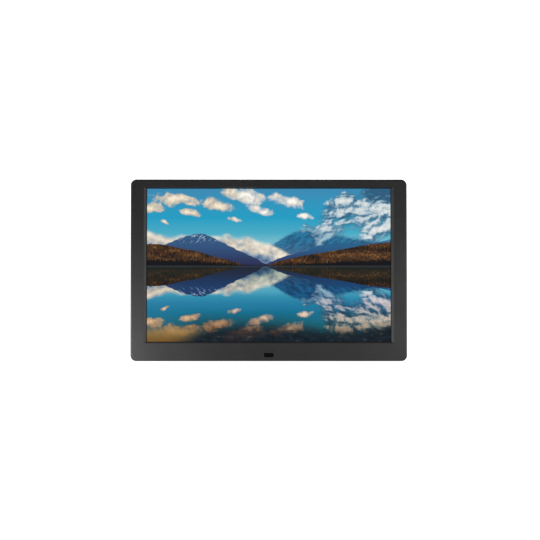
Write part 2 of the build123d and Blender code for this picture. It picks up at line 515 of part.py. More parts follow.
with BuildPart() as lcd_brackets:
    for clip_x, clip_y in BRACKETS:
        inward = 1 if clip_x < 0 else -1
        bar(sorted((clip_x - BRACKET_OUT * inward, clip_x + BRACKET_IN * inward)),
            (clip_y - BRACKET_HALF, clip_y + BRACKET_HALF), (MODULE_BACK - BRACKET_SHEET, MODULE_BACK))
    posts(BRACKETS, CLEARANCE_HOLE, MODULE_BACK - BRACKET_SHEET, MODULE_BACK, Mode.SUBTRACT)
lcd_brackets.part.label = "lcd_brackets"

with BuildPart() as panel_driver_board:
    bar(DRIVER_X, DRIVER_Y, (DRIVER_BACK, MODULE_BACK))
panel_driver_board.part.label = "panel_driver_board"

# ---- infrared receiver under the picture ----
with BuildPart() as ir_window:
    plate(IR_W, IR_H, IR_Y, -WALL, -0.1, IR_CORNER)
    plate(IR_FLANGE_W, IR_FLANGE_H, IR_Y, -WALL - IR_FLANGE, -WALL, IR_CORNER)
ir_window.part.label = "ir_window"

with BuildPart() as ir_receiver:
    bar((-3.4, 3.4), (3.7, 6.9), (IR_BOARD_FRONT, IR_DOME_Z))
    with Locations((0, IR_Y, IR_DOME_Z)):
        Sphere(IR_DOME)
    with GridLocations(2.54, 1.0, 3, 1):
        with Locations((0, 7.2, -5.6)):
            Box(0.5, 0.8, 0.8)
ir_receiver.part.label = "ir_receiver"

with BuildPart() as ir_board:
    bar((-13, 14), (2.7, 7.8), (IR_BOARD_BACK, IR_BOARD_FRONT))
    posts(IR_PINS, IR_PIN + 0.05, IR_BOARD_BACK, IR_BOARD_FRONT, Mode.SUBTRACT)
ir_board.part.label = "ir_board"

# ---- boards and what they carry ----
with BuildPart() as main_board:
    bar(MAIN_X, MAIN_Y, (MAIN_BACK, MAIN_FRONT))
    posts(MAIN_SCREWS, CLEARANCE_HOLE, MAIN_BACK, MAIN_FRONT, Mode.SUBTRACT)
main_board.part.label = "main_board"

with BuildPart() as key_board:
    bar((-97, -59), (67, 108), (KEY_BACK, KEY_FRONT))
    bar((-97, -69), (108, 138), (KEY_BACK, KEY_FRONT))
    posts(KEY_SCREWS, CLEARANCE_HOLE, KEY_BACK, KEY_FRONT, Mode.SUBTRACT)
key_board.part.label = "key_board"

with BuildPart() as board_chips:
    # processor, two memories and flash on the main board's back
    for chip_x, chip_y, chip_w, chip_h in CHIPS:
        pads([(chip_x, chip_y)], chip_w, chip_h, MAIN_BACK - CHIP, MAIN_BACK)
    pads(REGULATORS, REGULATOR[0], REGULATOR[1], MAIN_BACK - REGULATOR[2], MAIN_BACK)
    # timing controller and level shifter on the panel's own board
    for chip_x in DRIVER_CHIPS:
        bar((chip_x - DRIVER_CHIP_W / 2, chip_x + DRIVER_CHIP_W / 2), DRIVER_CHIP_Y,
            (DRIVER_BACK - DRIVER_CHIP, DRIVER_BACK))
board_chips.part.label = "board_chips"

with BuildPart() as board_capacitors:
    posts(CANS, CAN_R, MAIN_BACK - CAN_H, MAIN_BACK)
board_capacitors.part.label = "board_capacitors"

with BuildPart() as board_connectors:
    bar((42, 62), (16, 20), (DRIVER_BACK - SOCKET, DRIVER_BACK))  # panel cable, panel end
    bar((42, 62), (50, 54), (MAIN_FRONT, MAIN_FRONT + SOCKET))  # panel cable, main board
    bar((-66, -61), (84, 92), (KEY_FRONT, KEY_FRONT + SOCKET))  # key cable, key board
    bar((40, 45), (84, 92), (MAIN_FRONT, MAIN_FRONT + SOCKET))  # key cable, main board
    bar((7, 10.9), (3.2, 7.3), (IR_BOARD_BACK - SPEAKER_SOCKET, IR_BOARD_BACK))  # infrared cable, its board
    bar((40, 44), (62, 66), (MAIN_FRONT, MAIN_FRONT + SOCKET))  # infrared cable, main board
    bar((47, 52), (56, 60), (MAIN_BACK - SPEAKER_SOCKET, MAIN_BACK))  # right speaker
    bar((39, 43), (70, 74), (MAIN_BACK - SPEAKER_SOCKET, MAIN_BACK))  # left speaker
board_connectors.part.label = "board_connectors"

panel_cable = ribbon(PANEL_ROUTE, Plane.YZ.offset(PANEL_CABLE_X), PANEL_CABLE_W, "panel_cable")
key_cable = ribbon(KEY_ROUTE, Plane((0, KEY_CABLE_Y, 0), (1, 0, 0), (0, 1, 0)), KEY_CABLE_W, "key_cable")
ir_cable = wire(IR_ROUTE, IR_WIRE, "ir_cable")
speaker_wire_right = wire(RIGHT_ROUTE, SPEAKER_WIRE, "speaker_wire_right")
speaker_wire_left = wire(LEFT_ROUTE, SPEAKER_WIRE, "speaker_wire_left")

# ---- ports ----
with BuildPart() as usb_port_shell:
    inside = (USB_W - 2 * USB_SHEET, USB_H - 2 * USB_SHEET)
    block(USB_AT, USB_W, USB_H, USB_FROM, USB_FROM + USB_LONG)
    block(USB_AT, *inside, USB_FROM + USB_BACK, USB_FROM + USB_LONG, Mode.SUBTRACT)
usb_port_shell.part.label = "usb_port_shell"

with BuildPart() as usb_port_tongue:
    tongue_from = USB_FROM + USB_BACK + TONGUE_BASE
    block(USB_AT, inside[0] - 0.1, inside[1] - 0.1, USB_FROM + USB_BACK, tongue_from)
    block((USB_AT[0], USB_AT[1] + TONGUE_RISE), TONGUE_W, TONGUE_H, tongue_from, tongue_from + TONGUE_LONG)
usb_port_tongue.part.label = "usb_port_tongue"

with BuildPart() as sd_card_slot:
    block(SD_AT, SD_W, SD_H, SD_FROM, SD_FROM + SD_LONG)
    block(SD_AT, SD_SLOT_W, SD_SLOT_H, SD_FROM + SD_STOP, SD_FROM + SD_LONG, Mode.SUBTRACT)
sd_card_slot.part.label = "sd_card_slot"

with BuildPart() as audio_jack:
    bar(JACK_BODY, (AUDIO_AT[0] - AUDIO_BODY_HALF, AUDIO_AT[0] + AUDIO_BODY_HALF),
        (MAIN_BACK - AUDIO_BODY_H, MAIN_BACK))
    nose_end = JACK_BODY[1] + AUDIO_NOSE_LONG
    rod(AUDIO_AT, AUDIO_NOSE, JACK_BODY[1], nose_end)
    rod(AUDIO_AT, AUDIO_BORE, AUDIO_BORE_FROM, nose_end, Mode.SUBTRACT)
audio_jack.part.label = "audio_jack"

with BuildPart() as dc_jack:
    bar(JACK_BODY, (DC_AT[0] - DC_BODY_HALF, DC_AT[0] + DC_BODY_HALF), (MAIN_BACK - DC_BODY_H, MAIN_BACK))
    nose_end = JACK_BODY[1] + DC_NOSE_LONG
    rod(DC_AT, DC_NOSE, JACK_BODY[1], nose_end)
    rod(DC_AT, DC_BORE, DC_BORE_FROM, nose_end, Mode.SUBTRACT)
dc_jack.part.label = "dc_jack"

with BuildPart() as dc_jack_pin:
    rod(DC_AT, DC_PIN, DC_BORE_FROM, DC_BORE_FROM + DC_PIN_LONG)
    fillet(dc_jack_pin.faces().sort_by(Axis.X)[-1].edges(), DC_PIN_ROUND)
dc_jack_pin.part.label = "dc_jack_pin"

# ---- speakers ----
dish = (SPEAKER_L - 2 * SPEAKER_RIM, SPEAKER_W - 2 * SPEAKER_RIM)
dish_corner = SPEAKER_CORNER - 1

with BuildPart() as speaker_frames:
    pads(SPEAKERS, SPEAKER_L, SPEAKER_W, SPEAKER_BACK, SPEAKER_FRONT, SPEAKER_CORNER)
    pads(SPEAKERS, 2 * EAR_REACH, EAR_W, EAR_BACK, EAR_FRONT)
    pads(SPEAKERS, *dish, SPEAKER_BACK, SPEAKER_BACK + SPEAKER_DISH, dish_corner, Mode.SUBTRACT)
    posts(SPEAKER_SCREWS, CLEARANCE_HOLE, EAR_BACK, EAR_FRONT, Mode.SUBTRACT)
speaker_frames.part.label = "speaker_frames"

with BuildPart() as speaker_cones:
    for speaker in SPEAKERS:
        cone(speaker, CONE_OUTER)
        cone(speaker, CONE_INNER, Mode.SUBTRACT)
speaker_cones.part.label = "speaker_cones"

with BuildPart() as speaker_magnets:
    posts(SPEAKERS, MAGNET_R, SPEAKER_FRONT, SPEAKER_FRONT + MAGNET_H)
    fillet(speaker_magnets.faces().sort_by(Axis.Z)[-2:].edges(), MAGNET_ROUND)
speaker_magnets.part.label = "speaker_magnets"

with BuildPart() as speaker_gaskets:
    pads(SPEAKERS, SPEAKER_L, SPEAKER_W, BACK_FLOOR, SPEAKER_BACK, SPEAKER_CORNER)
    pads(SPEAKERS, *dish, BACK_FLOOR, SPEAKER_BACK, dish_corner, Mode.SUBTRACT)
speaker_gaskets.part.label = "speaker_gaskets"

# ---- keys ----
with BuildPart() as key_switch_bodies:
    pads(list(KEYS.values()), SWITCH_BODY, SWITCH_BODY, SWITCH_BACK, KEY_BACK)
    posts(list(KEYS.values()), PLUNGER_HOLE, SWITCH_BACK, SWITCH_BACK + SWITCH_POCKET, Mode.SUBTRACT)
key_switch_bodies.part.label = "key_switch_bodies"

keys = []
for key_name, place in KEYS.items():
    with BuildPart() as cap:
        posts([place], KEY_HEAD, BACK - KEY_PROUD, FLANGE_BACK)
        fillet(cap.faces().sort_by(Axis.Z)[0].edges(), KEY_ROUND)
        posts([place], KEY_FLANGE, FLANGE_BACK, FLANGE_FRONT)
    cap.part.label = f"key_{key_name}"
    keys.append(cap)

    with BuildPart() as plunger:
        posts([place], PLUNGER, FLANGE_FRONT, PLUNGER_TIP)
        chamfer(plunger.faces().sort_by(Axis.Z)[-1].edges(), PLUNGER_CHAMFER)
    plunger.part.label = f"plunger_{key_name}"
    keys.append(plunger)

# ---- hinge ----
hinge_at = (HINGE_Y, HINGE_Z)

with BuildPart() as hinge_bracket:
    bar(BASE_X, BASE_Y, (POCKET_Z - BASE_PLATE, POCKET_Z))
    for ear_x in (-EAR_IN - EAR, EAR_IN):
        rod(hinge_at, EAR_R, ear_x, ear_x + EAR)
        block((HINGE_Y, (HINGE_Z + POCKET_Z) / 2), 2 * EAR_R, POCKET_Z - HINGE_Z, ear_x, ear_x + EAR)
        rod(hinge_at, PIN + BRACKET_FIT, ear_x, ear_x + EAR, Mode.SUBTRACT)
    posts(HINGE_SCREWS, CLEARANCE_HOLE, POCKET_Z - BASE_PLATE, POCKET_Z, Mode.SUBTRACT)
hinge_bracket.part.label = "hinge_bracket"

with BuildPart() as hinge_pin:
    rod(hinge_at, PIN, -EAR_IN - EAR, EAR_IN + EAR)
    for head_x in (-EAR_IN - EAR - PIN_HEAD_LONG, EAR_IN + EAR):
        rod(hinge_at, PIN_HEAD, head_x, head_x + PIN_HEAD_LONG)
hinge_pin.part.label = "hinge_pin"

with BuildPart() as hinge_washers:
    for washer_x in (-EAR_IN + WASHER_GAP, EAR_IN - WASHER_GAP - WASHER):
        rod(hinge_at, WASHER_R, washer_x, washer_x + WASHER)
        rod(hinge_at, PIN + WASHER_FIT, washer_x, washer_x + WASHER, Mode.SUBTRACT)
hinge_washers.part.label = "hinge_washers"

# The leg's length follows from the height of its pin above the table and the angle that it opens to.
tip_round = (LEG_FRONT - LEG_BACK) / 2
leg_middle = (LEG_FRONT + LEG_BACK) / 2
behind_pin = HINGE_Z - leg_middle
past_upright = radians(OPEN_ANGLE - LEAN)
pin_height = HINGE_Y * cos(radians(LEAN)) + HINGE_Z * sin(radians(LEAN)) - FLOOR
leg_reach = (pin_height - tip_round + behind_pin * sin(past_upright)) / cos(past_upright)
tip_y = HINGE_Y - leg_reach  # centre of the tip's rounding, leg folded
pad_y = tip_y + PAD
tenon = (
    (-LEG_TIP_HALF + TENON_INSET, LEG_TIP_HALF - TENON_INSET),
    (pad_y - TENON, pad_y),
    (leg_middle - TENON_HALF, leg_middle + TENON_HALF),
)

with BuildPart() as stand_leg:
    with BuildSketch(Plane.XY.offset(LEG_BACK)):
        Polygon(
            (-LEG_TIP_HALF, pad_y), (LEG_TIP_HALF, pad_y), (LEG_HALF, LEG_WIDEST), (LEG_HALF, LEG_SHOULDER),
            (KNUCKLE_HALF, LEG_SHOULDER), (KNUCKLE_HALF, HINGE_Y), (-KNUCKLE_HALF, HINGE_Y),
            (-KNUCKLE_HALF, LEG_SHOULDER), (-LEG_HALF, LEG_SHOULDER), (-LEG_HALF, LEG_WIDEST),
            align=None,
        )
    extrude(amount=LEG_FRONT - LEG_BACK)
    shoulder_edges = stand_leg.edges().filter_by(Axis.Z)
    fillet(shoulder_edges.filter_by_position(Axis.Y, LEG_WIDEST - 1, LEG_SHOULDER + 1), LEG_CORNER)
    # shallow panel in the outer face and stiffening ribs behind it
    with BuildSketch(Plane.XY.offset(LEG_BACK)):
        Polygon((-18.0, pad_y + 6), (18.0, pad_y + 6), (22.5, 92.0), (-22.5, 92.0), align=None)
    extrude(amount=PANEL_DEEP, mode=Mode.SUBTRACT)
    with BuildSketch(Plane.XY.offset(LEG_FRONT)):
        Polygon((-19.0, pad_y + 5), (19.0, pad_y + 5), (24.5, 95.0), (-24.5, 95.0), align=None)
        with Locations((0, 54)):
            with GridLocations(12.0, 1.0, 3, 1):
                Rectangle(RIB, 100, mode=Mode.SUBTRACT)
            with GridLocations(1.0, 20.0, 1, 3):
                Rectangle(60, RIB, mode=Mode.SUBTRACT)
    extrude(amount=-RIB_POCKET_DEEP, mode=Mode.SUBTRACT)
    # knuckle round the pin, with the heel that stops the leg against the steel bracket
    with BuildSketch(Plane.YZ.offset(-KNUCKLE_HALF)):
        with Locations(hinge_at):
            Circle(KNUCKLE)
            Rectangle(HEEL, POCKET_Z - BASE_PLATE - STOP_GAP - HINGE_Z, rotation=-OPEN_ANGLE,
                      align=(Align.MIN, Align.MIN))
    extrude(amount=2 * KNUCKLE_HALF)
    rod(hinge_at, PIN + KNUCKLE_FIT, -KNUCKLE_HALF, KNUCKLE_HALF, Mode.SUBTRACT)
    # tenon that the rubber tip is moulded on
    bar(*tenon)
stand_leg.part.label = "stand_leg"

with BuildPart() as stand_foot_pad:
    rod((tip_y, leg_middle), tip_round, -LEG_TIP_HALF, LEG_TIP_HALF)
    block(((tip_y + pad_y) / 2, leg_middle), PAD, 2 * tip_round, -LEG_TIP_HALF, LEG_TIP_HALF)
    bar(*tenon, Mode.SUBTRACT)
stand_foot_pad.part.label = "stand_foot_pad"

# ---- lean the frame back, open the leg, and set the origin under the middle ----
fixed = [
    front_bezel, rear_cover, rubber_feet, case_screws, inner_screws, bezel_gasket, lcd_front_frame,
    lcd_polariser, lcd_glass, lcd_mould_frame, optical_films, light_guide, led_bar, reflector_sheet,
    lcd_back_plate, lcd_brackets, panel_driver_board, ir_window, ir_receiver, ir_board, main_board,
    key_board, board_chips, board_capacitors, board_connectors, panel_cable, key_cable, ir_cable,
    speaker_wire_right, speaker_wire_left, usb_port_shell, usb_port_tongue, sd_card_slot, audio_jack,
    dc_jack, dc_jack_pin, speaker_frames, speaker_cones, speaker_magnets, speaker_gaskets,
    key_switch_bodies, hinge_bracket, hinge_pin, hinge_washers,
] + keys
swinging = [stand_leg, stand_foot_pad]

lean = Plane(origin=(0, 0, 0), x_dir=(1, 0, 0), z_dir=(0, -cos(radians(LEAN)), sin(radians(LEAN)))).location
swing = Pos(0, HINGE_Y, HINGE_Z) * Rot(OPEN_ANGLE, 0, 0) * Pos(0, -HINGE_Y, -HINGE_Z)
leant = [(piece.part.label, piece.part.moved(lean)) for piece in fixed]
leant += [(piece.part.label, piece.part.moved(lean * swing)) for piece in swinging]
boxes = [shape.bounding_box() for _, shape in leant]
front_y = min(box.min.Y for box in boxes)
rear_y = max(box.max.Y for box in boxes)
low_z = min(box.min.Z for box in boxes)
ORIGIN = (0.0, (front_y + rear_y) / 2, low_z)

os.makedirs("parts", exist_ok=True)
for name, shape in leant:
    placed = shape.moved(Pos(0, -ORIGIN[1], -ORIGIN[2]))
    placed.label = name
    export_step(placed, f"parts/{name}.step")
print("pieces", len(leant), "origin", [round(v, 3) for v in ORIGIN], "floor", round(FLOOR, 3),
      "depth", round(rear_y - front_y, 2), "height", round(max(box.max.Z for box in boxes) - low_z, 2))
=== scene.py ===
"""Looks of the digital photo frame: materials for its CAD nodes, the lit picture, and a soft pale studio."""
import json
from functools import reduce
from math import radians

import bmesh
import bpy
from mathutils import Matrix, Vector


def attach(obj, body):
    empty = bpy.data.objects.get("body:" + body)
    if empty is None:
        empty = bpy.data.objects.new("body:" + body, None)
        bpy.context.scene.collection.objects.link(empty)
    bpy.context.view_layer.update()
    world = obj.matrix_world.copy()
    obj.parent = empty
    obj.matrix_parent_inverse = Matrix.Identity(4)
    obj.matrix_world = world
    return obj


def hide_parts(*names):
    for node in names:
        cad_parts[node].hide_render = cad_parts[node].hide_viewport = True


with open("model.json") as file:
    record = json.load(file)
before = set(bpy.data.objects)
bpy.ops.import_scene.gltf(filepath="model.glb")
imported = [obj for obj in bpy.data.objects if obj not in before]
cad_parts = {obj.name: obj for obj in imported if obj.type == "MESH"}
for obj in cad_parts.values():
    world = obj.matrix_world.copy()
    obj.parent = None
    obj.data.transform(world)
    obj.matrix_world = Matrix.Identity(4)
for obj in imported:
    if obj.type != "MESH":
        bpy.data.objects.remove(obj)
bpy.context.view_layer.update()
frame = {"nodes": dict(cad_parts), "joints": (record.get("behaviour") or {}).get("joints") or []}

NODES = frame["nodes"]

# ---- the screen's own axes, read from the key that is pressed square to it ----
OUT = Vector(next(j["axis"] for j in frame["joints"] if j["name"] == "ok_press"))  # out of the screen
UP = Vector((0, OUT.z, -OUT.y))  # up along the screen
RIGHT = Vector((1, 0, 0))


def reach(node, direction):
    """How far a node goes along a direction: (lowest, highest)."""
    along = [v.co.dot(direction) for v in NODES[node].data.vertices]
    return min(along), max(along)


LEFT_EDGE, RIGHT_EDGE = reach("front_bezel", RIGHT)
LOW_EDGE, HIGH_EDGE = reach("front_bezel", UP)
FACE = reach("front_bezel", OUT)[1]
WIDTH, HEIGHT = RIGHT_EDGE - LEFT_EDGE, HIGH_EDGE - LOW_EDGE


def at(x, y, z):
    """A point given across, up and out from the middle of the bezel's front bottom edge."""
    return RIGHT * x + UP * (LOW_EDGE + y) + OUT * (FACE + z)


# ---- node building ----
def tone(red, green, blue):
    """A colour given as it looks on a screen, 0 to 255, as the linear colour that shaders use."""
    linear = [(c / 255 / 12.92) if c < 11 else ((c / 255 + 0.055) / 1.055) ** 2.4 for c in (red, green, blue)]
    return (*linear, 1.0)


class Nodes:
    """Short ways to add shader nodes to a tree and wire them up."""

    def __init__(self, tree):
        self.tree = tree

    def put(self, socket, value):
        if isinstance(value, bpy.types.NodeSocket):
            self.tree.links.new(value, socket)
        elif value is not None:
            socket.default_value = value

    def add(self, kind, **settings):
        node = self.tree.nodes.new("ShaderNode" + kind)
        for name, value in settings.items():
            setattr(node, name, value)
        return node

    def math(self, operation, a, b=None):
        node = self.add("Math", operation=operation)
        self.put(node.inputs[0], a)
        self.put(node.inputs[1], b)
        return node.outputs[0]

    def total(self, *values):
        return reduce(lambda a, b: self.math("ADD", a, b), values)

    def times(self, *values):
        return reduce(lambda a, b: self.math("MULTIPLY", a, b), values)

    def less(self, a, b):
        return self.math("SUBTRACT", a, b)

    def swing(self, value, size):
        """A value of 0 to 1 turned into one that goes by half a size either way from zero."""
        return self.times(self.less(value, 0.5), size)

    def vector(self, operation, a, b=None):
        node = self.add("VectorMath", operation=operation)
        self.put(node.inputs[0], a)
        self.put(node.inputs[1], b)
        return node.outputs["Value" if operation in ("LENGTH", "DOT_PRODUCT") else "Vector"]

    def point(self, x, y, z=0.0):
        node = self.add("CombineXYZ")
        for socket, value in zip(node.inputs, (x, y, z)):
            self.put(socket, value)
        return node.outputs[0]

    def split(self, vector):
        node = self.add("SeparateXYZ")
        self.put(node.inputs[0], vector)
        return node.outputs

    def span(self, value, low, high, start=0.0, end=1.0):
        """Carries value from low..high to start..end, easing at both ends."""
        node = self.add("MapRange", interpolation_type="SMOOTHSTEP")
        names = ("Value", "From Min", "From Max", "To Min", "To Max")
        for name, given in zip(names, (value, low, high, start, end)):
            self.put(node.inputs[name], given)
        return node.outputs["Result"]

    def mix(self, factor, a, b, blend="MIX"):
        node = self.add("Mix", data_type="RGBA", blend_type=blend)
        self.put(node.inputs["Factor"], factor)
        self.put(node.inputs[6], a)
        self.put(node.inputs[7], b)
        return node.outputs[2]

    def ramp(self, factor, stops):
        node = self.add("ValToRGB")
        elements = node.color_ramp.elements
        while len(elements) < len(stops):
            elements.new(0.5)
        for element, (place, colour) in zip(elements, stops):
            element.position = place
            element.color = colour
        self.put(node.inputs[0], factor)
        return node.outputs[0]

    def curve(self, value, points):
        """A smooth line through points over 0..1."""
        node = self.add("FloatCurve")
        line = node.mapping.curves[0]
        for spare in points[2:]:
            line.points.new(*spare)
        for point, place in zip(line.points, sorted(points)):
            point.location = place
        node.mapping.update()
        self.put(node.inputs["Value"], value)
        return node.outputs[0]

    def place(self, vector, location=(0, 0, 0), rotation=0.0, scale=(1, 1, 1)):
        """vector as seen from a frame with its own place, turn and size."""
        node = self.add("Mapping", vector_type="TEXTURE")
        self.put(node.inputs["Vector"], vector)
        node.inputs["Location"].default_value = location
        node.inputs["Rotation"].default_value = (0, 0, rotation)
        node.inputs["Scale"].default_value = scale
        return node.outputs[0]

    def noise(self, vector, scale, detail=2.0, rough=0.5):
        node = self.add("TexNoise")
        self.put(node.inputs["Vector"], vector)
        node.inputs["Scale"].default_value = scale
        node.inputs["Detail"].default_value = detail
        node.inputs["Roughness"].default_value = rough
        return node.outputs[0]

    def rounded(self, radius):
        """The surface's normal, softened near edges."""
        node = self.add("Bevel", samples=4)
        node.inputs["Radius"].default_value = radius
        return node.outputs[0]

    def bump(self, shader, height, strength, distance, normal=None):
        """Gives a shader's surface a fine relief, laid over a normal if there is one."""
        node = self.add("Bump")
        node.inputs["Strength"].default_value = strength
        node.inputs["Distance"].default_value = distance
        self.put(node.inputs["Height"], height)
        self.put(node.inputs["Normal"], normal)
        self.put(shader.inputs["Normal"], node.outputs[0])


def new_material(name):
    """An empty material with a Principled shader: (material, node builder, shader)."""
    material = bpy.data.materials.new(name)
    material.use_nodes = True
    return material, Nodes(material.node_tree), material.node_tree.nodes["Principled BSDF"]


# ---- materials of the object ----
def moulded(name, dark, light, roughness, grain=2600.0, relief=0.12, worn=None, specular=0.5):
    """Moulded plastic or rubber: spark-eroded grain, slow shade changes, and polished edges."""
    material, n, shader = new_material(name)
    where = n.add("TexCoord").outputs["Object"]
    cloudy = n.noise(where, 28.0, 3.0, 0.6)
    fine = n.noise(where, grain, 3.0, 0.65)
    flecks = n.noise(where, grain * 0.31, 2.0, 0.7)
    shade = n.total(n.times(cloudy, 0.55), n.times(flecks, 0.45))
    colour = n.mix(n.span(shade, 0.32, 0.68), dark, light)
    rough = n.span(shade, 0.3, 0.7, roughness - 0.05, roughness + 0.05)
    normal = n.rounded(radius=0.00035)
    if worn:
        turned = n.vector("DOT_PRODUCT", normal, n.add("NewGeometry").outputs["Normal"])
        edge = n.times(n.span(turned, 0.995, 0.90), n.span(cloudy, 0.35, 0.7, 0.25, 1.0))
        colour = n.mix(edge, colour, worn)
        rough = n.less(rough, n.times(edge, 0.12))
    n.put(shader.inputs["Roughness"], rough)
    n.put(shader.inputs["Base Color"], colour)
    height = n.total(fine, n.times(flecks, 0.5))
    n.bump(shader, height, strength=relief, distance=0.00006, normal=normal)
    shader.inputs["Specular IOR Level"].default_value = specular
    return material


def brushed(name, dark, light, roughness, along=(1.0, 30.0, 30.0), metallic=1.0):
    """Rolled or plated metal: fine lines one way, faint stains, softened edges."""
    material, n, shader = new_material(name)
    where = n.add("TexCoord").outputs["Object"]
    lines = n.noise(n.vector("MULTIPLY", where, tuple(a * 90.0 for a in along)), 1.0, 3.0, 0.6)
    stains = n.noise(where, 45.0, 4.0, 0.55)
    n.put(shader.inputs["Base Color"], n.mix(n.span(stains, 0.35, 0.7), dark, light))
    rough = n.span(n.times(lines, stains), 0.15, 0.4, roughness - 0.08, roughness + 0.1)
    n.put(shader.inputs["Roughness"], rough)
    shader.inputs["Metallic"].default_value = metallic
    n.bump(shader, lines, strength=0.08, distance=0.00004, normal=n.rounded(radius=0.0002))
    return material


def circuit(name):
    """Solder mask over copper: dark weave, lighter tracks in a loose grid."""
    material, n, shader = new_material(name)
    where = n.add("TexCoord").outputs["Object"]
    bricks = n.add("TexBrick", offset=0.37, squash=1.0)
    n.put(bricks.inputs["Vector"], n.vector("MULTIPLY", where, (260.0, 260.0, 260.0)))
    bricks.inputs["Mortar Size"].default_value = 0.035
    weave = n.noise(where, 1500.0, 2.0)
    colour = n.mix(n.span(bricks.outputs["Fac"], 0.0, 1.0), tone(14, 72, 42), tone(34, 112, 62))
    n.put(shader.inputs["Base Color"], n.mix(n.span(weave, 0.4, 0.8, 0.0, 0.4), colour, tone(9, 48, 30)))
    n.put(shader.inputs["Roughness"], n.span(weave, 0.3, 0.7, 0.28, 0.4))
    n.bump(shader, bricks.outputs["Fac"], strength=0.2, distance=0.00005)
    return material


def clear(name):
    """Acrylic or glass with a faint tint and dust."""
    material, n, shader = new_material(name)
    dust = n.noise(n.add("TexCoord").outputs["Object"], 900.0, 3.0)
    n.put(shader.inputs["Roughness"], n.span(dust, 0.4, 0.8, 0.04, 0.2))
    dusty = n.span(dust, 0.4, 0.8)
    n.put(shader.inputs["Base Color"], n.mix(dusty, tone(225, 235, 238), tone(205, 216, 220)))
    shader.inputs["Transmission Weight"].default_value = 0.85
    return material


CASE = moulded("charcoal_case", tone(34, 34, 34), tone(40, 40, 40), 0.48, worn=tone(47, 47, 47))
LEG = moulded("leg_plastic", tone(26, 26, 26), tone(32, 32, 32), 0.52, worn=tone(64, 64, 64))
KEY = moulded("key_plastic", tone(44, 44, 45), tone(52, 52, 53), 0.42, relief=0.08, worn=tone(84, 84, 84))
RUBBER = moulded("rubber_black", tone(17, 17, 17), tone(26, 26, 26), 0.78, grain=1400.0, relief=0.2)
FOAM = moulded("foam", tone(22, 22, 22), tone(34, 34, 34), 0.95, grain=900.0, relief=0.6)
WINDOW = moulded("dark_window", tone(2, 2, 2), tone(4, 4, 4), 0.2, relief=0.01, specular=0.12)
CHIP = moulded("chip_black", tone(20, 20, 21), tone(30, 30, 31), 0.5, grain=1800.0, worn=tone(70, 70, 70))
WHITE = moulded("white_plastic", tone(214, 212, 204), tone(232, 230, 223), 0.42, relief=0.06)
CABLE = moulded("cable_skin", tone(52, 52, 54), tone(70, 70, 72), 0.45, relief=0.06)
PLUNGER = moulded("plunger_plastic", tone(132, 58, 40), tone(150, 70, 50), 0.4, relief=0.05)
SHEET_STEEL = brushed("sheet_steel", tone(176, 177, 178), tone(206, 206, 205), 0.34)
PORT_STEEL = brushed("port_steel", tone(186, 187, 188), tone(218, 218, 216), 0.26, along=(20.0, 1.0, 20.0))
HINGE_STEEL = brushed("hinge_steel", tone(120, 120, 121), tone(158, 158, 156), 0.36)
SCREW_STEEL = brushed("screw_steel", tone(38, 38, 39), tone(60, 60, 60), 0.38, along=(8.0, 8.0, 8.0),
                      metallic=0.85)
MAGNET = brushed("magnet_steel", tone(130, 131, 132), tone(160, 160, 160), 0.42)
CAN = brushed("can_aluminium", tone(190, 191, 192), tone(222, 222, 222), 0.3)
BOARD = circuit("board_green")
CLEAR = clear("clear_plastic")

UNDER_KEYS = ("key_board", "key_switch_bodies", "key_cable")  # parts behind the keys, in looks of their own
LOOKS = {
    CASE: ["front_bezel", "rear_cover"],
    LEG: ["stand_leg"],
    KEY: [name for name in NODES if name.startswith("key_") and name not in UNDER_KEYS],
    RUBBER: ["rubber_feet", "stand_foot_pad"],
    FOAM: ["bezel_gasket", "speaker_gaskets"],
    WINDOW: ["ir_window"],
    CHIP: ["board_chips", "ir_receiver", "key_switch_bodies", "audio_jack", "dc_jack", "speaker_frames",
           "speaker_cones"],
    WHITE: ["lcd_mould_frame", "optical_films", "reflector_sheet", "board_connectors", "usb_port_tongue"],
    CABLE: ["panel_cable", "key_cable", "ir_cable", "speaker_wire_left", "speaker_wire_right"],
    PLUNGER: [name for name in NODES if name.startswith("plunger_")],
    SHEET_STEEL: ["lcd_front_frame", "lcd_back_plate", "lcd_brackets"],
    PORT_STEEL: ["usb_port_shell", "sd_card_slot"],
    HINGE_STEEL: ["hinge_bracket", "hinge_pin", "hinge_washers"],
    SCREW_STEEL: ["case_screws", "inner_screws"],
    MAGNET: ["speaker_magnets"],
    CAN: ["board_capacitors", "dc_jack_pin"],
    BOARD: ["main_board", "key_board", "ir_board", "panel_driver_board", "led_bar"],
    CLEAR: ["light_guide", "lcd_glass"],
}
for material, names in LOOKS.items():
    for name in names:
        NODES[name].data.materials.clear()
        NODES[name].data.materials.append(material)

# ---- the lit picture: a mountain lake under broken cloud, and its reflection ----
LIT_W, LIT_H = 0.2166, 0.1361  # the panel's lit area, in metres
SHORE = 0.5  # height of the waterline, as a share of the picture
LONG = LIT_W / LIT_H  # the picture is one unit high and this wide
BORDER = 0.0005  # half width of the soft edge of the lit area, as a share of its size

